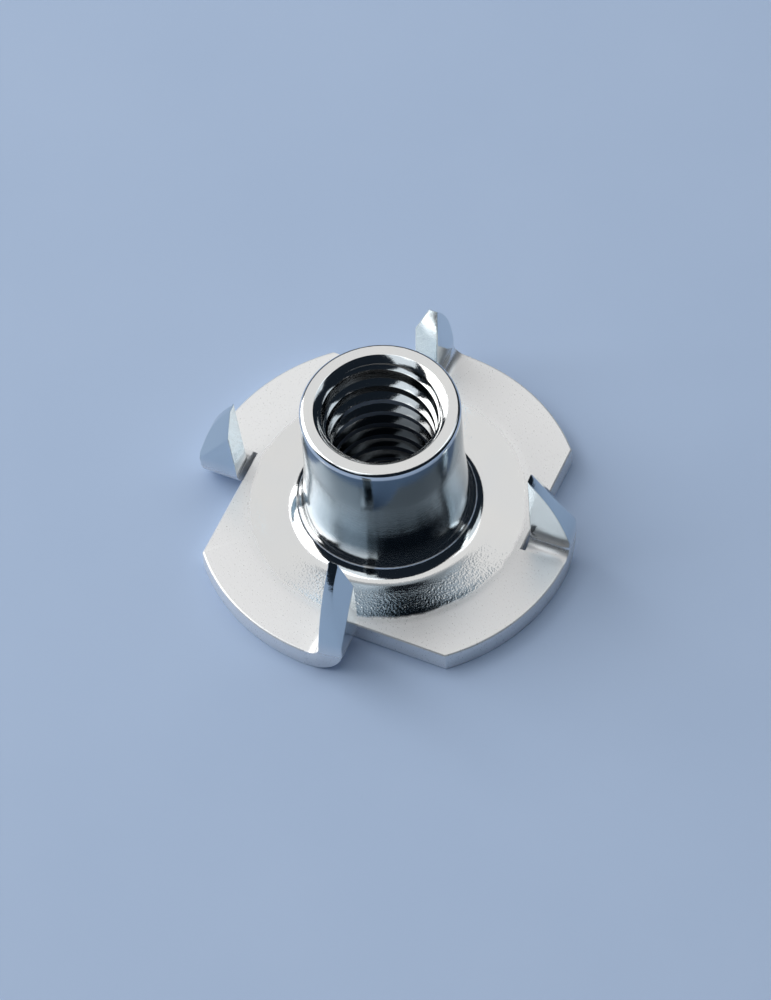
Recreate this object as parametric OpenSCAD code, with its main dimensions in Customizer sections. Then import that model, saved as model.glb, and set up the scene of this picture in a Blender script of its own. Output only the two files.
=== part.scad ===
// Four-prong tee nut, pressed and drawn from one piece of sheet steel.
// The flange lies on z = 0 and the barrel's axis is the z axis, opening upwards.
// Going round anticlockwise, every lobe of the flange starts at a sheared edge and
// ends at a prong: the flap that was sheared free there and bent up.

/* [Thread] */
// nominal diameter of the thread
thread_d = 6; // [5:0.5:6.2]
// pitch of the thread
thread_pitch = 1; // [0.8:0.05:1.25]
// share of the full thread depth that the tap leaves
thread_share = 0.8; // [0.6:0.05:1]
// diameter of the chamfer at the barrel's mouth
sink_d = 6.4; // [6.2:0.1:7]
// diameter at the foot of that chamfer, where the bore opens out under the thinned rim
lead_d = 5.8; // [5.6:0.05:6.1]
// depth below the rim at which the bore has its full thread
lead_h = 2.3; // [1.2:0.1:3]

/* [Barrel] */
// diameter of the barrel's straight upper part
barrel_d = 7.8; // [7.6:0.1:9]
// height from the underside of the flange to the rim
height = 9.1; // [8:0.1:15]
// rounding of the rim's outer edge
rim_round = 0.25; // [0.1:0.05:0.35]
// radius of the root fillet
root_r = 0.85; // [0.5:0.05:1]
// angle at which the barrel's lower part swells towards its root
draft = 5; // [1:0.5:8]
// height above the flange at which that swell starts
swell_h = 3.8; // [2.6:0.1:6]
// radius of the drawn-in mouth on the underside
mouth_r = 1.2; // [0.4:0.1:1.8]

/* [Flange] */
// diameter across the lobes
flange_d = 19; // [18.4:0.2:21]
// thickness of the sheet
sheet_t = 1.2; // [1:0.05:1.5]
// diameter of the ring that the drawing die presses round the root
press_d = 13.6; // [12:0.1:13.9]
// depth of that ring
press_depth = 0.06; // [0.02:0.01:0.12]
// distance from the axis to each sheared edge, at the prong
cut_r = 7.15; // [7:0.05:7.4]
// slant of the sheared edge, which leaves the axis as it nears the lobe's corner
cut_slant = 3.6; // [0:0.2:8]

/* [Prongs] */
// number of prongs
prong_count = 4; // [3:1:4]
// height of each prong's tip above the flange, going round anticlockwise
prong_heights = [5.6, 6, 5.6, 5.6]; // [4.8:0.1:6.2]
// inside radius of the bend
bend_r = 0.6; // [0.3:0.05:0.9]
// length of flat metal between the lobe's edge and the start of the bend
bend_start = 0.1; // [0.05:0.05:0.3]
// lean of a prong's inner edge away from the barrel
prong_lean = 1.6; // [0:0.2:8]
// angle through which each flap is bent up from the flange, going round anticlockwise
bend_angles = [94, 92, 86, 90]; // [80:2:98]
// turn of the bend line from a true radius
prong_skew = 3; // [0:0.5:6]
// offset of a prong's lobe side from the radius through its foot
prong_offset = 0.12; // [-0.2:0.02:0.4]
// gap left by the shear between a prong's inner edge and the flange
shear_gap = 0.2; // [0.04:0.02:0.3]
// height above the flange at which the bevel starts on a prong's outer edge
bevel_low = 0.9; // [0.6:0.1:1.6]
// height above the flange at which the bevel reaches the inner edge
bevel_high = 4; // [3:0.1:4.4]
// thickness that the bevel leaves at the tip
tip_land = 0.45; // [0.3:0.05:0.7]

/* [Hidden] */
$fn = 128;

steel = [0.78, 0.79, 0.81];
// a cut reaches this far past the faces that it opens
over = 1;

// an internal thread's crest stands this many pitches inside its nominal diameter, on the diameter
minor_factor = 1.0825;
minor_r = (thread_d - thread_share * minor_factor * thread_pitch) / 2;
sink_r = sink_d / 2;
lead_r = lead_d / 2;
sink_depth = sink_r - lead_r;

barrel_r = barrel_d / 2;
flange_r = flange_d / 2;
// the blank is drawn oversize, then trimmed together with the prongs by one cylinder
blank_r = flange_r + 2 * over;
press_r = press_d / 2;
seat_z = sheet_t - press_depth;

// the point where the swell runs into the root fillet, and that fillet's centre
straight_z = sheet_t + swell_h;
swell_z = seat_z + root_r * (1 + sin(draft));
swell_x = barrel_r + (straight_z - swell_z) * tan(draft);
fillet_x = swell_x + root_r * cos(draft);
fillet_z = seat_z + root_r;

// a prong's frame has x out along the bend line from the sheared edge, and y round towards the gap
bend_y = prong_offset - bend_r;
plate_z = sheet_t + bend_r;
reach = flange_r - cut_r + over;
gap_len = flange_r;
// length of the bent strip that lies inside its lobe
lead = sheet_t / 2;
// edge of the block whose face is the bevel's plane
bevel_size = 4 * flange_r;

// A prong's inner edge on the flat flap, at a given length past the bend.
function inner_x(length) = shear_gap + length * tan(prong_lean);

// Half section of the flange, with the shallow ring left by the die.
module flange_section() {
    square([blank_r, seat_z]);
    polygon([
        [press_r, 0],
        [blank_r, 0],
        [blank_r, sheet_t],
        [press_r + press_depth, sheet_t],
        [press_r, seat_z]
    ]);
}

// Half section of the barrel: the straight part, its rounded rim, the swell and the root fillet.
module barrel_section() {
    square([barrel_r, height - rim_round]);
    square([barrel_r - rim_round, height]);
    translate([barrel_r - rim_round, height - rim_round])
        circle(r = rim_round);
    difference() {
        polygon([
            [0, 0],
            [fillet_x, 0],
            [fillet_x, seat_z],
            [swell_x, swell_z],
            [barrel_r, straight_z],
            [0, straight_z]
        ]);
        translate([fillet_x, fillet_z])
            circle(r = root_r);
    }
}

// Half section of what the bore takes away: the hole, its lead-in and chamfer, and the drawn-in mouth.
module bore_section() {
    translate([0, -over])
        square([minor_r, height + 2 * over]);
    polygon([
        [0, height - lead_h],
        [minor_r, height - lead_h],
        [lead_r, height - sink_depth],
        [sink_r, height],
        [sink_r, height + over],
        [0, height + over]
    ]);
    difference() {
        translate([0, -over])
            square([minor_r + mouth_r, mouth_r + over]);
        translate([minor_r + mouth_r, mouth_r])
            circle(r = mouth_r);
    }
}

// The drawn body before its flange is sheared.
module drawn_body() {
    rotate_extrude()
        difference() {
            union() {
                flange_section();
                barrel_section();
            }
            bore_section();
        }
}

// Places its children in a prong's frame.
module prong_frame(turn) {
    rotate([0, 0, turn])
        translate([cut_r, bend_y, 0])
            rotate([0, 0, -prong_skew])
                children();
}

// The opening that a bent-up flap leaves in the flange.
module flap_opening() {
    translate([0, 0, -over])
        linear_extrude(height = sheet_t + 2 * over)
            polygon([
                [0, -bend_start],
                [reach, -bend_start],
                [reach, gap_len],
                [gap_len * tan(cut_slant - prong_skew), gap_len]
            ]);
}

// Folds what is drawn flat past the bend's end up round the bend's centre line.
module folded(bend_angle) {
    translate([0, 0, plate_z])
        rotate([bend_angle, 0, 0])
            translate([0, 0, -plate_z])
                children();
}

// All that lies above a level, as far as a prong reaches.
module above(level) {
    translate([-flange_r, -flange_r, level])
        cube(2 * flange_r);
}

// All that lies between the bend's start and its end, outside a radius about its centre line.
module bend_corner(bend_angle, inside_r) {
    difference() {
        translate([-flange_r, 0, -flange_r])
            cube(2 * flange_r);
        folded(bend_angle)
            translate([-flange_r - over, 0, -flange_r])
                cube(2 * (flange_r + over));
        translate([-flange_r - over, 0, plate_z])
            rotate([0, 90, 0])
                cylinder(r = inside_r, h = 2 * (flange_r + over));
    }
}

// The bent strip that a prong is cut from, with a lead that lies inside its lobe.
module bent_strip(bend_angle, prong_h) {
    difference() {
        translate([shear_gap, -lead, 0])
            cube([reach - shear_gap - over / 2, lead + prong_h, sheet_t + prong_h + over]);
        difference() {
            intersection() {
                above(sheet_t);
                folded(bend_angle)
                    above(sheet_t);
            }
            bend_corner(bend_angle, bend_r);
        }
        bend_corner(bend_angle, bend_r + sheet_t);
        folded(bend_angle)
            above(-2 * flange_r);
    }
}

// Outline of a prong past its bend, drawn flat: the inner edge leans out and meets the flange's arc at the tip.
module prong_outline(tip_h) {
    tip_x = inner_x(tip_h);
    tip_r = cut_r + tip_x;
    intersection() {
        polygon([
            [shear_gap, 0],
            [reach, 0],
            [reach, tip_h],
            [tip_x, tip_h]
        ]);
        translate([-cut_r, tip_h - sqrt(flange_r * flange_r - tip_r * tip_r)])
            circle(r = flange_r);
    }
}

// What the outline leaves of the flat flap's strip past the bend.
module outline_waste(tip_h) {
    difference() {
        translate([-over, 0, -over])
            cube([reach + 2 * over, tip_h + 2 * over, sheet_t + 2 * over]);
        translate([0, 0, -2 * over])
            linear_extrude(height = sheet_t + 4 * over)
                prong_outline(tip_h);
    }
}

// What the bevel takes off the flat flap, past a plane through its outer edge, its inner edge and its tip.
module bevel_waste(tip_h) {
    low = bevel_low - bend_r;
    high = bevel_high - bend_r;
    outer = [flange_r - cut_r, low, 0];
    inner = [inner_x(high), high, 0];
    tip = [inner_x(tip_h), tip_h, sheet_t - tip_land];
    normal = cross(inner - outer, tip - outer);
    translate(outer)
        rotate([0, acos(normal.z / norm(normal)), atan2(normal.y, normal.x)])
            translate([-bevel_size / 2, -bevel_size / 2, 0])
                cube(bevel_size);
}

// A prong: the bent strip, cut to its outline past the bend and thinned there by the bevel on its gap side.
module prong(bend_angle, prong_h) {
    tip_h = prong_h - bend_r;
    difference() {
        bent_strip(bend_angle, prong_h);
        folded(bend_angle) {
            outline_waste(tip_h);
            bevel_waste(tip_h);
        }
    }
}

module tee_nut() {
    color(steel)
        intersection() {
            union() {
                difference() {
                    drawn_body();
                    for (k = [0 : prong_count - 1])
                        prong_frame(k * 360 / prong_count)
                            flap_opening();
                }
                for (k = [0 : prong_count - 1])
                    prong_frame(k * 360 / prong_count)
                        prong(bend_angles[k], prong_heights[k]);
            }
            translate([0, 0, -over])
                cylinder(r = flange_r, h = height + 2 * over);
        }
}

tee_nut();
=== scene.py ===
import math

import bmesh
import bpy
from mathutils import Matrix, Vector


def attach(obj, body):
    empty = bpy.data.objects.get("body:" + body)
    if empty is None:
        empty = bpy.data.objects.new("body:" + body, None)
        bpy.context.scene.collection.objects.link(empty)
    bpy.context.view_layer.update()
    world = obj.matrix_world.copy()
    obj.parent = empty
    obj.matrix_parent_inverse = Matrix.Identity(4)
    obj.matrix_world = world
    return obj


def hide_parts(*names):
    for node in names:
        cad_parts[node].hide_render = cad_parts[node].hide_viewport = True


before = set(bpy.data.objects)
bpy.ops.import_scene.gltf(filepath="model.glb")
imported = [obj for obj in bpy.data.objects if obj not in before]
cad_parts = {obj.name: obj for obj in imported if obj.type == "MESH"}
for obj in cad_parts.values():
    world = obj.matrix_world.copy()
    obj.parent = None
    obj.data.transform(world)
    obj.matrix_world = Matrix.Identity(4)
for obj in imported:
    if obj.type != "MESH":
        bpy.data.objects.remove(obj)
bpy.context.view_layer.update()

# %% [markdown]
# ## The sizes
# All lengths are in millimetres and are scaled to metres at the end, because a mesh a few units
# wide is easier to cut cleanly than one a few thousandths wide. The flange lies on z = 0 and the
# barrel's axis is the z axis. The four flaps aren't bent equally: a press lets one spring back a
# little more than the next, and that shows.
# %% Sizes in millimetres
MM = 0.001
FLANGE_R, SHEET_T = 9.5, 1.2
PRESS_R, PRESS_DEPTH = 6.8, 0.06
BARREL_R, HEIGHT, RIM_ROUND = 3.9, 9.1, 0.25
ROOT_R, DRAFT, SWELL_H = 0.85, math.radians(5), 3.8
MOUTH_R, SINK_R = 1.2, 3.2
THREAD_R, PITCH, THREAD_SHARE, FULL_DEPTH = 3.0, 1.0, 0.8, 1.0825
LEAD_R, LEAD_H = 2.9, 2.3
CUT_R, CUT_SLANT = 7.15, math.radians(3.6)
PRONG_LEAN, PRONG_SKEW = math.radians(1.6), math.radians(3)
PRONG_OFFSET, SHEAR_GAP, BEND_R, BEND_START = 0.12, 0.2, 0.6, 0.1
BEVEL_LOW, BEVEL_HIGH, TIP_LAND = 0.9, 4.0, 0.45
PRONG_HEIGHTS = [5.6, 6.0, 5.6, 5.6]
BEND_ANGLES = [math.radians(a) for a in (94, 92, 86, 90)]
print("flange", 2 * FLANGE_R, "mm wide, barrel", 2 * BARREL_R, "mm wide,", HEIGHT, "mm high")

# %% [markdown]
# ## What follows from them
# Other places are worked out from these sizes, so that what meets in the metal meets here too: the
# thread's inner radius, the pressed ring's level, the end of the root fillet and the line that a
# flap is bent about. EDGE is the size of a broken edge, OVER is how far a cutter reaches past the
# metal, MERGE is the distance at which two points are one, and SEGMENTS is how many faces go round.
# %% Places worked out
EDGE, OVER, MERGE = 0.06, 1.0, 1e-4
SEGMENTS, BEND_STEPS = 192, 14
MINOR_R = THREAD_R - THREAD_SHARE * FULL_DEPTH * PITCH / 2
SEAT_Z = SHEET_T - PRESS_DEPTH
SINK_Z = HEIGHT - (SINK_R - LEAD_R)
STRAIGHT_Z = SHEET_T + SWELL_H
SWELL_Z = SEAT_Z + ROOT_R * (1 + math.sin(DRAFT))
FILLET_R = BARREL_R + (STRAIGHT_Z - SWELL_Z) * math.tan(DRAFT) + ROOT_R * math.cos(DRAFT)
FILLET_Z = SEAT_Z + ROOT_R
BEND_Y, BEND_Z = PRONG_OFFSET - BEND_R, SHEET_T + BEND_R
REACH = FLANGE_R - CUT_R + OVER
print("thread's minor radius, mm:", round(MINOR_R, 3), "- fillet's foot, mm:", round(FILLET_R, 3))

# %% [markdown]
# ## The barrel's outline
# A punch pushes the middle of the blank through a die, and the sheet flows up into a barrel with
# walls thinner than the flange. The half section has the drawn-in mouth on the underside, the small
# rounding of the blanked edge, the shallow ring pressed by the die, the root fillet, the swell above
# it and the rounded rim. Drawn metal has no crisp corners, so the ring's step is eased by `blend`
# and the start of the swell by `swell`. Round stretches are arcs.
# %% Points of the half section
RING_BLEND, SWELL_BLEND = 0.5, 1.0
RIM_FLAT, RIM_DROP = 0.05, 0.02
RING_MID_R, BORE_MID_Z, BORE_LOW_Z = 5.9, 4.5, 2.8


def arc(centre, radius, start, stop, steps):
    out = []
    for i in range(steps + 1):
        angle = math.radians(start + (stop - start) * i / steps)
        out.append((centre[0] + radius * math.cos(angle), centre[1] + radius * math.sin(angle)))
    return out


def blend(start, stop, low, high, steps):
    out = []
    for i in range(steps + 1):
        share = i / steps
        rise = share * share * (3 - 2 * share)
        out.append((start + (stop - start) * share, low + (high - low) * rise))
    return out


def swell(steps):
    out = []
    for i in range(steps + 1):
        left = 2 * SWELL_BLEND * (steps - i) / steps
        flare = math.tan(DRAFT) * left**2 / (4 * SWELL_BLEND)
        out.append((BARREL_R + flare, STRAIGHT_Z + SWELL_BLEND - left))
    return out


section = [(LEAD_R, SINK_Z), (MINOR_R, HEIGHT - LEAD_H)]
section += [(MINOR_R, BORE_MID_Z), (MINOR_R, BORE_LOW_Z)]
section += arc((MINOR_R + MOUTH_R, MOUTH_R), MOUTH_R, 180, 270, 10)
section += arc((FLANGE_R - EDGE, EDGE), EDGE, 270, 360, 3)
section += arc((FLANGE_R - 2 * EDGE, SHEET_T - 2 * EDGE), 2 * EDGE, 0, 90, 4)
section += blend(PRESS_R + RING_BLEND, PRESS_R - RING_BLEND, SHEET_T, SEAT_Z, 12)
section += [(RING_MID_R, SEAT_Z)]
section += arc((FILLET_R, FILLET_Z), ROOT_R, 270, 180 - math.degrees(DRAFT), 12)
section += swell(8)
section += arc((BARREL_R - RIM_ROUND, HEIGHT - RIM_ROUND), RIM_ROUND, 0, 90, 6)
section += [(SINK_R + RIM_FLAT, HEIGHT), (SINK_R, HEIGHT - RIM_DROP)]
print("section points:", len(section))

# %% [markdown]
# ## Drawing it
# These are the moves that the lesson repeats. `edit` opens a mesh with nothing selected and `done`
# closes it. `draw` makes an outline by pulling one vertex from point to point, as a pencil line is
# made. `pick` selects by place or direction, because there is no window to click in. The outline's
# two ends are picked here and joined by an edge, which closes it.
# %% Draw the half section
def edit(obj, mode="VERT"):
    if bpy.context.mode != "OBJECT":
        bpy.ops.object.mode_set(mode="OBJECT")
    bpy.ops.object.select_all(action="DESELECT")
    bpy.context.view_layer.objects.active = obj
    obj.select_set(True)
    bpy.ops.object.mode_set(mode="EDIT")
    bpy.ops.mesh.select_mode(type=mode)
    bpy.ops.mesh.select_all(action="DESELECT")


def done():
    bpy.ops.object.mode_set(mode="OBJECT")
    bpy.ops.object.select_all(action="DESELECT")


def draw(name, points):
    bpy.ops.mesh.primitive_plane_add(size=1, location=(0, 0, 0))
    obj = bpy.context.object
    obj.name = obj.data.name = name
    edit(obj)
    bpy.ops.mesh.select_all(action="SELECT")
    bpy.ops.mesh.merge(type="CENTER")
    bpy.ops.transform.translate(value=points[0])
    for here, there in zip(points, points[1:]):
        step = Vector(there) - Vector(here)
        bpy.ops.mesh.extrude_vertices_move(TRANSFORM_OT_translate={"value": step})
    bpy.ops.mesh.select_all(action="DESELECT")
    return obj


def pick(obj, kind, test):
    bpy.ops.mesh.select_all(action="DESELECT")
    bm = bmesh.from_edit_mesh(obj.data)
    bm.normal_update()
    found = [item for item in getattr(bm, kind) if test(item)]
    for item in found:
        item.select_set(True)
    bm.select_flush_mode()
    bmesh.update_edit_mesh(obj.data)
    return len(found)


nut = draw("nut", [(r, 0, z) for r, z in section])
ends = [Vector((r, 0, z)) for r, z in (section[0], section[-1])]
picked = pick(nut, "verts", lambda v: min((v.co - end).length for end in ends) < MERGE)
bpy.ops.mesh.edge_face_add()
print("ends joined:", picked)

# %% [markdown]
# ## Spinning it
# A drawn barrel is round, so its section goes once round the axis. The last copy falls on the first,
# and the two are merged, which closes the seam. `report` prints a mesh's faces, open edges and
# volume. A solid has no open edge, so that number is watched all the way, and it has to be 0 at the
# end.
# %% Spin the section about the axis
def face_outwards():
    bpy.ops.mesh.select_all(action="SELECT")
    bpy.ops.mesh.normals_make_consistent(inside=False)


def report(obj):
    bm = bmesh.new()
    bm.from_mesh(obj.data)
    open_edges = sum(not e.is_manifold for e in bm.edges)
    print(
        f"{obj.name}: {len(bm.faces)} faces, {open_edges} open edges,"
        f" {bm.calc_volume(signed=True):.1f} mm3"
    )
    bm.free()


bpy.ops.mesh.select_all(action="SELECT")
bpy.ops.mesh.spin(steps=SEGMENTS, angle=2 * math.pi, center=(0, 0, 0), axis=(0, 0, 1))
bpy.ops.mesh.select_all(action="SELECT")
bpy.ops.mesh.remove_doubles(threshold=MERGE)
face_outwards()
done()
report(nut)

# %% [markdown]
# ## The sign of a turn
# With no window, the rotate operator turns the other way round. One probe vertex is turned to find
# the sign, and `turn` uses it from then on, always about a centre that it is given.
# %% Find the sign of a turn
def turn_sign():
    probe = draw("probe", [(0, 1, 0)])
    bpy.ops.mesh.select_all(action="SELECT")
    bpy.ops.transform.rotate(
        value=0.5, orient_axis="X", orient_type="GLOBAL", center_override=(0, 0, 0)
    )
    done()
    z = probe.data.vertices[0].co.z
    bpy.data.objects.remove(probe, do_unlink=True)
    return 1 if z > 0 else -1


TURN_SIGN = turn_sign()
print("a positive turn about X lifts +Y:", TURN_SIGN)


def turn(angle, axis, centre):
    bpy.ops.transform.rotate(
        value=angle * TURN_SIGN, orient_axis=axis, orient_type="GLOBAL", center_override=centre
    )


# %% [markdown]
# ## Shearing the flaps
# Each flap is sheared along a slanting line and leaves an opening in the flange as it bends up.
# The cutter is that opening: a flat outline pulled up through the sheet. Its sheared side flares at
# the top and bottom faces, so the cut leaves a small broken edge on the lobe, as a plated edge has.
# Three more copies are spun round the axis.
# %% Make the cutter
FLARE, NEAR = 0.5, 1e-3


def opening(shift, z):
    slope = math.tan(CUT_SLANT - PRONG_SKEW)
    return [
        (-shift, -BEND_START, z),
        (REACH, -BEND_START, z),
        (REACH, FLANGE_R, z),
        (FLANGE_R * slope - shift, FLANGE_R, z),
    ]


levels = [
    (-FLARE, FLARE + EDGE),
    (EDGE, 0),
    (SHEET_T - EDGE, 0),
    (SHEET_T + FLARE, FLARE + EDGE),
]
cutter = draw("cutter", opening(levels[0][1], levels[0][0]))
bpy.ops.mesh.select_all(action="SELECT")
bpy.ops.mesh.edge_face_add()
for (low, before), (high, after) in zip(levels, levels[1:]):
    pick(cutter, "faces", lambda f: all(abs(v.co.z - low) < NEAR for v in f.verts))
    bpy.ops.mesh.extrude_region_move(TRANSFORM_OT_translate={"value": (0, 0, high - low)})
    pick(cutter, "verts", lambda v: abs(v.co.z - high) < NEAR and v.co.x < REACH - OVER)
    bpy.ops.transform.translate(value=(before - after, 0, 0))
face_outwards()
turn(-PRONG_SKEW, "Z", (0, 0, 0))
bpy.ops.transform.translate(value=(CUT_R, BEND_Y, 0))
bpy.ops.mesh.spin(
    steps=3, angle=1.5 * math.pi, center=(0, 0, 0), axis=(0, 0, 1), dupli=True
)
done()
report(cutter)

# %% [markdown]
# ## Taking the openings out
# `use` adds a modifier and applies it at once, so that the next step works on plain faces. `combine`
# uses a Boolean in that way and then throws its tool away. A Boolean is the closest thing to a shear:
# it leaves flat walls where the tool went through.
# %% Cut the four openings
def use(obj, kind, **settings):
    bpy.ops.object.select_all(action="DESELECT")
    bpy.context.view_layer.objects.active = obj
    obj.select_set(True)
    mod = obj.modifiers.new(kind.title(), kind)
    for key, value in settings.items():
        setattr(mod, key, value)
    bpy.ops.object.modifier_apply(modifier=mod.name)


def combine(obj, operation, tool):
    use(obj, "BOOLEAN", operation=operation, solver="EXACT", object=tool)
    bpy.data.objects.remove(tool, do_unlink=True)


combine(nut, "DIFFERENCE", cutter)
report(nut)

# %% [markdown]
# ## A flap, drawn flat
# Its inner edge leans away from the barrel, and its outer edge is still the blank's own arc, so the
# two meet in a point. The arc is trimmed by a few hundredths of a millimetre and the very point is
# cut off, because a plated edge is never quite sharp.
# %% Outline of a flap
TIP_FLAT, TIP_DROP, MID_H = 0.10, 0.06, 2.0
OUTER_TRIM, TRIM_H, TRIM_FOOT = 0.08, 1.5, 0.25
OUTER_STEPS = 16


def inner_x(y):
    return SHEAR_GAP + y * math.tan(PRONG_LEAN)


def flap_points(tip_h):
    arc_h = tip_h - math.sqrt(FLANGE_R**2 - (CUT_R + inner_x(tip_h)) ** 2)
    out = [(inner_x(y), y, 0) for y in (0, MID_H, tip_h - TIP_FLAT)]
    for i in range(OUTER_STEPS + 1):
        y = (tip_h - TIP_DROP) * (OUTER_STEPS - i) / OUTER_STEPS
        trim = OUTER_TRIM * (min(1, y / TRIM_H) - TRIM_FOOT)
        out.append((math.sqrt(FLANGE_R**2 - (y - arc_h) ** 2) - CUT_R - trim, y, 0))
    return out


print("points of each flap:", [len(flap_points(high - BEND_R)) for high in PRONG_HEIGHTS])

# %% [markdown]
# ## Thinning a flap
# The flat outline is pulled up to the sheet's thickness. One slanting cut on the gap side then thins
# it towards the tip, which is what lets it bite into wood. The cut is a plane through three places:
# low on the outer edge, high on the inner edge, and at the tip, where it leaves a narrow land.
# %% Thin a flap
def bevel_plane(tip_h):
    low, high = BEVEL_LOW - BEND_R, BEVEL_HIGH - BEND_R
    outer = Vector((FLANGE_R - CUT_R, low, 0))
    inner = Vector((inner_x(high), high, 0))
    tip = Vector((inner_x(tip_h), tip_h, SHEET_T - TIP_LAND))
    return outer, (inner - outer).cross(tip - outer).normalized()


def flat_flap(name, tip_h):
    prong = draw(name, flap_points(tip_h))
    bpy.ops.mesh.select_all(action="SELECT")
    bpy.ops.mesh.edge_face_add()
    bpy.ops.mesh.extrude_region_move(TRANSFORM_OT_translate={"value": (0, 0, SHEET_T)})
    face_outwards()
    place, normal = bevel_plane(tip_h)
    bpy.ops.mesh.bisect(plane_co=place, plane_no=normal, use_fill=True, clear_outer=True)
    return prong


downwards = Vector((0, 0, -1))
slants = [bevel_plane(high - BEND_R)[1].angle(downwards) for high in PRONG_HEIGHTS]
print("slant of each cut, degrees:", [round(math.degrees(slant), 1) for slant in slants])

# %% [markdown]
# ## Bending a flap up
# The flap swings up about the bend's centre line, and its foot is carried back round the bend in
# small steps to meet the lobe. A short straight lead takes it into the sheet; it is a hair thinner
# than the sheet, so that no two faces lie on each other when the prong is united with the flange.
# The blank's own cylinder, a hair smaller, trims the foot where it would stand past the flange.
# %% Bend a flap and trim it
LEAD, LEAD_THIN, HAIR = 0.2, 0.99, 0.012
AXIS_X = -CUT_R * math.cos(PRONG_SKEW) + BEND_Y * math.sin(PRONG_SKEW)
AXIS_Y = -CUT_R * math.sin(PRONG_SKEW) - BEND_Y * math.cos(PRONG_SKEW)


def bend_up(prong, bend):
    bpy.ops.mesh.select_all(action="SELECT")
    turn(bend, "X", (0, 0, BEND_Z))
    away = Vector((0, -math.cos(bend), -math.sin(bend)))
    pick(prong, "faces", lambda f: f.normal.dot(away) > 0.999)
    for _ in range(BEND_STEPS):
        bpy.ops.mesh.extrude_region_move(TRANSFORM_OT_translate={"value": (0, 0, 0)})
        turn(-bend / BEND_STEPS, "X", (0, 0, BEND_Z))
    lead = (0, -BEND_START - LEAD, 0)
    bpy.ops.mesh.extrude_region_move(TRANSFORM_OT_translate={"value": lead})
    bpy.ops.transform.resize(value=(1, 1, LEAD_THIN), center_override=(0, 0, SHEET_T / 2))
    face_outwards()
    done()


def trim_to_blank(prong):
    bpy.ops.mesh.primitive_cylinder_add(
        vertices=2 * SEGMENTS,
        radius=FLANGE_R - HAIR,
        depth=4 * FLANGE_R,
        location=(AXIS_X, AXIS_Y, 0),
    )
    combine(prong, "INTERSECT", bpy.context.object)


print("nut's axis in the flap's own frame, mm:", round(AXIS_X, 3), round(AXIS_Y, 3))

# %% [markdown]
# ## Breaking its edges
# Every sharp edge of the prong gets a small bevel, apart from the lead's, which vanish inside the
# lobe. The prong then moves from its own frame to its place on the flange.
# %% Finish the prongs
SHARP = math.radians(25)


def sharp(edge):
    if len(edge.link_faces) != 2 or all(v.co.y < -BEND_START for v in edge.verts):
        return False
    return edge.calc_face_angle() > SHARP


def make_prong(index, bend, tip_h):
    prong = flat_flap(f"prong_{index}", tip_h)
    bend_up(prong, bend)
    trim_to_blank(prong)
    edit(prong, "EDGE")
    pick(prong, "edges", sharp)
    bpy.ops.mesh.bevel(offset=EDGE, segments=2, affect="EDGES")
    bpy.ops.mesh.select_all(action="SELECT")
    turn(-PRONG_SKEW, "Z", (0, 0, 0))
    bpy.ops.transform.translate(value=(CUT_R, BEND_Y, 0))
    turn(index * math.pi / 2, "Z", (0, 0, 0))
    done()
    report(prong)
    return prong


pairs = enumerate(zip(BEND_ANGLES, PRONG_HEIGHTS))
prongs = [make_prong(index, bend, high - BEND_R) for index, (bend, high) in pairs]

# %% [markdown]
# ## One piece again
# Flange and prongs are one sheet of metal, so the four prongs are joined to one mesh and united with
# the nut. A Boolean union drops the faces inside, which a plain join would leave in.
# %% Unite the prongs with the flange
def join(name, objs):
    bpy.ops.object.select_all(action="DESELECT")
    for obj in objs:
        obj.select_set(True)
    bpy.context.view_layer.objects.active = objs[0]
    bpy.ops.object.join()
    objs[0].name = objs[0].data.name = name
    return objs[0]


combine(nut, "UNION", join("flaps", prongs))
report(nut)

# %% [markdown]
# ## The tap
# A tap cuts a spiral groove with sides at 60 degrees. The groove's section is drawn once and
# carried up a helix by a Screw modifier, about a turn past the bore at either end. It reaches a
# little deeper than the thread and starts in the open bore, so that it cuts cleanly.
# %% Draw the groove and carry it up
TURNS, TAP_START = 11, -0.75
TAP_INSET, ROOT_EXTRA, ROOT_EASE = 0.12, 0.05, 0.02
slope = math.tan(math.radians(30))
inner = MINOR_R - TAP_INSET
root = THREAD_R + ROOT_EXTRA
half_root = PITCH / 16
half_mouth = half_root + (root - inner) * slope
groove = [
    (inner, -half_mouth),
    (root - ROOT_EASE, -half_root),
    (root, -half_root / 2),
    (root, half_root / 2),
    (root - ROOT_EASE, half_root),
    (inner, half_mouth),
]
tap = draw("tap", [(r, 0, z + TAP_START) for r, z in groove])
pick(tap, "verts", lambda v: abs(v.co.x - inner) < MERGE)
bpy.ops.mesh.edge_face_add()
done()
use(
    tap,
    "SCREW",
    axis="Z",
    angle=2 * math.pi,
    screw_offset=PITCH,
    iterations=TURNS,
    steps=SEGMENTS // 2,
    render_steps=SEGMENTS // 2,
)
print("groove:", round(2 * half_mouth, 2), "mm wide where it starts,", TURNS, "turns")

# %% [markdown]
# ## Tapping the thread
# The tap's two ends are closed, and it is taken out of the bore. The bore opens out in a long
# lead-in under the thinned rim, so the first turns start shallow there, and the last ones run out
# through the drawn-in mouth. The tap leaves 80% of the full depth.
# %% Cut the thread
edit(tap)
for low, high in ((-2, 0), (TURNS - 2, TURNS + 1)):
    pick(
        tap,
        "verts",
        lambda v: any(e.is_boundary for e in v.link_edges) and low < v.co.z < high,
    )
    bpy.ops.mesh.edge_face_add()
face_outwards()
done()
report(tap)
combine(nut, "DIFFERENCE", tap)
report(nut)

# %% [markdown]
# ## Closing the last edges
# The Booleans leave a few points twice, a hair apart, and an edge stays open between them. Merging
# such points closes it, and the nut is one solid again.
# %% Merge double points
edit(nut)
bpy.ops.mesh.select_all(action="SELECT")
bpy.ops.mesh.remove_doubles(threshold=MERGE)
done()
report(nut)

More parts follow.
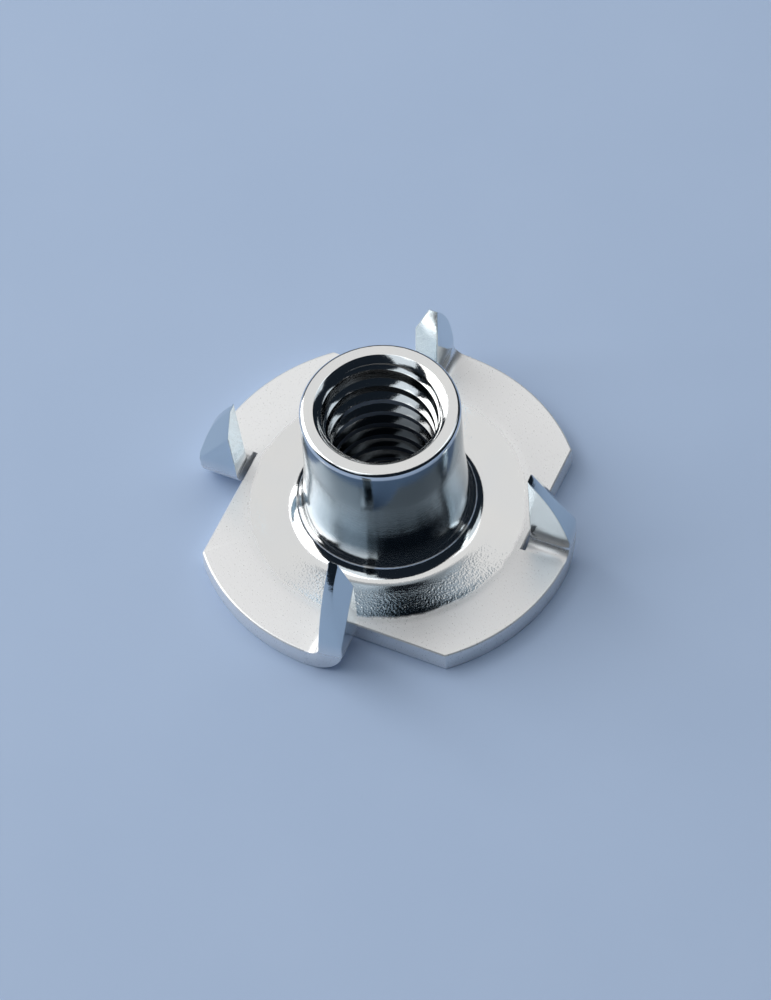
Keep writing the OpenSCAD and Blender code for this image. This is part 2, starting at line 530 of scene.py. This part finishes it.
# %% [markdown]
# ## Finishing the mesh
# The mesh is scaled to metres. Faces that meet at a shallow angle shade as one smooth skin, and
# the large flat faces keep straight normals, so that the flange doesn't look dented beside a fillet.
# %% Scale and shade
edit(nut)
bpy.ops.mesh.select_all(action="SELECT")
bpy.ops.transform.resize(value=(MM, MM, MM), center_override=(0, 0, 0))
done()
nut.select_set(True)
bpy.context.view_layer.objects.active = nut
bpy.ops.object.shade_smooth_by_angle(angle=math.radians(28))
use(nut, "WEIGHTED_NORMAL", keep_sharp=True, weight=80)
nut.name = nut.data.name = "tee_nut_body"
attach(nut, "root")
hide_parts("tee_nut")
print("mesh box, m:", [round(v, 5) for v in (*nut.bound_box[0], *nut.bound_box[6])])

# %% [markdown]
# ## Bright zinc plating
# Zinc plating is thin and follows the steel below it, so the finish changes from place to place
# while the mesh stays one. The material works from two lengths, both in millimetres: the distance
# from the axis and the height. `add` makes one node and sets or links each of its inputs.
# %% Start the plating
def new_material(name):
    material = bpy.data.materials.new(name)
    material.use_nodes = True
    material.node_tree.nodes.clear()
    return material, material.node_tree


def add(tree, kind, inputs=(), **settings):
    node = tree.nodes.new(kind)
    for key, value in settings.items():
        setattr(node, key, value)
    for key, value in dict(inputs).items():
        if isinstance(value, bpy.types.NodeSocket):
            tree.links.new(value, node.inputs[key])
        else:
            node.inputs[key].default_value = value
    return node


zinc, tree = new_material("zinc_plating")
coord = add(tree, "ShaderNodeTexCoord").outputs["Object"]
scaled = add(tree, "ShaderNodeVectorMath", {0: coord, "Scale": 1 / MM}, operation="SCALE")
mm = scaled.outputs[0]
x, y, z = add(tree, "ShaderNodeSeparateXYZ", {0: mm}).outputs
flat = add(tree, "ShaderNodeCombineXYZ", {"X": x, "Y": y}).outputs[0]
radius = add(tree, "ShaderNodeVectorMath", {0: flat}, operation="LENGTH").outputs["Value"]
print("nodes that measure:", len(tree.nodes))

# %% [markdown]
# ## Where it is bright and where satin
# Where the tools have burnished the steel, on the barrel, the fillet, the ring around it and the
# prongs, the plating is nearly a mirror. The rest of the flange and the underside keep the rolled
# sheet's fine satin grain and scatter part of the light. The border on the flange is the die's own
# circle, and a little noise keeps it from looking drawn with a compass. `ramp` makes a soft mask,
# from 0 to 1, out of a stretch of a length, and `fade` one from 1 to 0. `times` multiplies masks,
# and `outside_of` turns them inside out.
# %% Masks
RING_ZONE, UNDERSIDE = (5.0, 5.5), (0.2, 0.4)


def math_node(tree, operation, a, b):
    return add(tree, "ShaderNodeMath", {0: a, 1: b}, operation=operation).outputs[0]


def times(tree, first, *others):
    for other in others:
        first = math_node(tree, "MULTIPLY", first, other)
    return first


def outside_of(tree, *masks):
    return [math_node(tree, "SUBTRACT", 1.0, mask) for mask in masks]


def ramp(tree, value, low, high, out_low=0.0, out_high=1.0):
    node = add(
        tree,
        "ShaderNodeMapRange",
        {"Value": value, "From Min": low, "From Max": high, "To Min": out_low, "To Max": out_high},
        interpolation_type="SMOOTHSTEP",
    )
    return node.outputs["Result"]


def fade(tree, value, low, high):
    return ramp(tree, value, low, high, 1.0, 0.0)


def noise(tree, vector, scale, detail=3.0, rough=0.5):
    node = add(
        tree,
        "ShaderNodeTexNoise",
        {"Vector": vector, "Scale": scale, "Detail": detail, "Roughness": rough},
    )
    return node.outputs["Fac"]


wobble = times(tree, noise(tree, mm, 0.9, 2.0), 0.3)
wavy_radius = math_node(tree, "ADD", radius, wobble)
rolled = ramp(tree, wavy_radius, PRESS_R + 0.05, PRESS_R + 0.25)
raised = ramp(tree, z, SHEET_T + 0.15, SHEET_T + 0.5)
round_mouth = ramp(tree, radius, BARREL_R - 0.1, BARREL_R + 0.3)
under = times(tree, round_mouth, fade(tree, z, *UNDERSIDE))
satin_above = times(tree, rolled, *outside_of(tree, raised))
satin = math_node(tree, "MAXIMUM", satin_above, under)
struck = times(tree, ramp(tree, radius, *RING_ZONE), *outside_of(tree, rolled, under, raised))
print("satin starts", PRESS_R + 0.05, "mm from the axis or less")

# %% [markdown]
# ## Its tones
# The bright zinc wavers between a cool and a warm silver, and the satin is a little paler. The
# barrel's wall is painted darker and bluish, a painted reflection of the dim room and the blue board
# in its mirror-bright metal. The prongs get a painted bluish reflection of the board, and the bore is
# painted nearly black towards its bottom, as painted shade deep in the hole. Each tone is laid over
# the one before it, by its own mask.
# %% Tones
COOL_SILVER, WARM_SILVER = (0.76, 0.79, 0.82, 1), (0.83, 0.83, 0.82, 1)
# The prong tone is a painted bluish reflection of the board on the prongs.
SATIN_TONE, PAINTED_PRONG_REFLECTION_TONE = (0.90, 0.91, 0.92, 1), (0.66, 0.73, 0.77, 1)
# The wall tone is a painted dark, bluish reflection on the barrel; the bore tone is painted shade
# deep in the bore.
PAINTED_DARK_REFLECTION_TONE, PAINTED_BORE_SHADE_TONE = (0.16, 0.21, 0.255, 1), (0.045, 0.05, 0.055, 1)
PRONG_FOOT_R, PRONG_FOOT_Z = (5.6, 6.4), (1.6, 2.6)
WALL_FOOT_R, WALL_FOOT_Z = (4.8, 5.3), (1.9, 3.2)
BORE_DEPTHS = (3.6, 7.2)


def mix(tree, mask, a, b, kind="RGBA"):
    node = add(tree, "ShaderNodeMix", {"Factor": mask, "A": a, "B": b}, data_type=kind)
    return node.outputs["Result"]


# Painted reflection: the prongs are tinted bluish, like the board that they mirror.
painted_prong_reflection = times(tree, ramp(tree, radius, *PRONG_FOOT_R), ramp(tree, z, *PRONG_FOOT_Z))
# Painted dark reflection: the barrel's wall is darkened and tinted bluish between the fillet and the
# rim.
painted_dark_reflection = times(
    tree,
    ramp(tree, radius, BARREL_R - 0.15, BARREL_R),
    ramp(tree, z, *WALL_FOOT_Z),
    fade(tree, z, HEIGHT - 0.45, HEIGHT - 0.3),
    fade(tree, radius, *WALL_FOOT_R),
)
# Painted shade: the bore is darkened towards its bottom.
in_bore = fade(tree, radius, THREAD_R + 0.15, THREAD_R + 0.25)
painted_bore_shade = times(tree, in_bore, fade(tree, z, *BORE_DEPTHS))
colour = mix(tree, noise(tree, mm, 0.35, 2.0), COOL_SILVER, WARM_SILVER)
for mask, tone in ((satin, SATIN_TONE), (painted_prong_reflection, PAINTED_PRONG_REFLECTION_TONE), (painted_dark_reflection, PAINTED_DARK_REFLECTION_TONE), (painted_bore_shade, PAINTED_BORE_SHADE_TONE)):
    colour = mix(tree, mask, colour, tone)
print("plating nodes so far:", len(tree.nodes))

# %% [markdown]
# ## Its grain
# The satin's fine grain also varies the roughness, so that a reflection is never evenly soft. Four
# patterns share one bump: that grain, the faint rings that a die leaves round the axis, shallow pits
# and, in the ring that the die struck, a coarser, pebbled skin that breaks up the barrel's dark
# reflection. Satin is less metallic, because part of its light is scattered.
# %% Grain and shader
BRIGHT_ROUGH, SATIN_ROUGH, SATIN_METAL = (0.05, 0.12), (0.27, 0.36), 0.55
grain = noise(tree, mm, 14.0, 4.0, 0.6)
rough_bright = ramp(tree, grain, 0.3, 0.7, *BRIGHT_ROUGH)
rough_satin = ramp(tree, grain, 0.3, 0.7, *SATIN_ROUGH)
rough = mix(tree, satin, rough_bright, rough_satin, "FLOAT")
metal = mix(tree, satin, 1.0, SATIN_METAL, "FLOAT")
round_axis = add(tree, "ShaderNodeCombineXYZ", {"X": radius, "Y": times(tree, z, 0.25)})
rings = noise(tree, round_axis.outputs[0], 5.0, 3.0, 0.6)
pits = noise(tree, mm, 9.0, 2.0, 0.5)
pebbles = times(tree, noise(tree, mm, 11.0, 1.0, 0.5), struck)
height = times(tree, grain, 0.25)
for pattern, share in ((rings, 0.5), (pits, 0.2), (pebbles, 1.9)):
    height = math_node(tree, "ADD", height, times(tree, pattern, share))
bump = add(tree, "ShaderNodeBump", {"Height": height, "Strength": 0.20, "Distance": 0.00004})
shader = add(
    tree,
    "ShaderNodeBsdfPrincipled",
    {"Base Color": colour, "Metallic": metal, "Roughness": rough, "Normal": bump.outputs[0]},
)
add(tree, "ShaderNodeOutputMaterial", {"Surface": shader.outputs[0]})
nut.data.materials.clear()
nut.data.materials.append(zinc)
print("plating nodes:", len(tree.nodes))

# %% [markdown]
# ## The floor
# The nut lies on a smooth, pale blue board. Its colour matters, because the bright metal mirrors it
# on every upright face.
# %% Floor
DEEP_BLUE, PALE_BLUE = (0.415, 0.545, 0.77, 1), (0.455, 0.585, 0.81, 1)
bpy.ops.mesh.primitive_plane_add(size=3, location=(0, 0, 0))
floor = bpy.context.object
floor.name = floor.data.name = "floor"
board, tree = new_material("pale_board")
coord = add(tree, "ShaderNodeTexCoord").outputs["Object"]
colour = mix(tree, noise(tree, coord, 90.0, 3.0), DEEP_BLUE, PALE_BLUE)
shader = add(tree, "ShaderNodeBsdfPrincipled", {"Base Color": colour, "Roughness": 0.6})
add(tree, "ShaderNodeOutputMaterial", {"Surface": shader.outputs[0]})
floor.data.materials.append(board)
print("board nodes:", len(tree.nodes))

# %% [markdown]
# ## Light
# A large soft panel stands behind and above the nut, where the flange mirrors it into the camera.
# A smaller panel at the upper left casts the shadow to the right, and a weak one on the right
# lights the bore's turns. A fourth hangs at the front left: the barrel shows it as a pale, bluish
# band. The rest of the side that the camera looks from stays dark, and the barrel is dark there.
# BACK points away from the camera along the board, and RIGHT to its right.
# %% Lamps
BACK, RIGHT = Vector((-0.4194, 0.9078, 0)), Vector((0.908, 0.419, 0))
UP = Vector((0, 0, 1))


def panel(name, place, size, power, colour):
    bpy.ops.object.light_add(type="AREA", location=place)
    lamp = bpy.context.object
    lamp.name = name
    lamp.data.shape = "RECTANGLE"
    lamp.data.size, lamp.data.size_y = size
    lamp.data.energy = power
    lamp.data.color = colour
    lamp.rotation_euler = (-place).to_track_quat("-Z", "Y").to_euler()
    return lamp


back = BACK * 0.20 + RIGHT * -0.03 + UP * 0.50
left = RIGHT * -0.40 + BACK * 0.18 + UP * 0.30
right = RIGHT * 0.36 + BACK * 0.10 + UP * 0.40
front = Vector((-0.115, -0.255, 0.415))
lamps = [
    panel("back_panel", back, (0.90, 0.92), 2.15, (1.0, 0.985, 0.965)),
    panel("left_panel", left, (0.50, 0.50), 1.9, (1.0, 0.99, 0.97)),
    panel("right_panel", right, (0.2, 0.3), 0.15, (0.85, 0.94, 1.0)),
    panel("front_panel", front, (0.24, 0.30), 0.20, (0.88, 0.95, 1.0)),
]
print("lamps, W:", {lamp.name: round(lamp.data.energy, 2) for lamp in lamps})

# %% [markdown]
# ## The room
# The walls of a dim room send back a little bluish light from all sides. It is weak, so that the
# panels shape the metal.
# %% World
world = bpy.data.worlds.new("studio")
world.use_nodes = True
room = world.node_tree.nodes["Background"].inputs
room["Color"].default_value = (0.45, 0.68, 1.0, 1)
room["Strength"].default_value = 0.02
bpy.context.scene.world = world
print("room's strength:", round(room["Strength"].default_value, 3))

# %% [markdown]
# ## Camera
# The camera looks down from about 56 degrees. Its long lens keeps the barrel's sides nearly parallel,
# as in a catalogue view.
# %% Camera
cam = bpy.data.cameras.new("camera")
cam.lens, cam.sensor_width, cam.clip_start = 181.5, 36.0, 0.01
camera = bpy.data.objects.new("camera", cam)
bpy.context.scene.collection.objects.link(camera)
place = Vector((0.057724, -0.125213, 0.206885))
look = Vector((-0.23359, 0.50559, -0.83055))
side = Vector((0.93500, 0.35124, -0.04916))
upward = side.cross(look).normalized()
basis = Matrix((side, upward, -look)).transposed().to_4x4()
camera.matrix_world = Matrix.Translation(place) @ basis
bpy.context.scene.camera = camera
bpy.context.scene.view_settings.view_transform = "Standard"
print("camera looks down, degrees:", round(math.degrees(math.asin(-look.z)), 1))
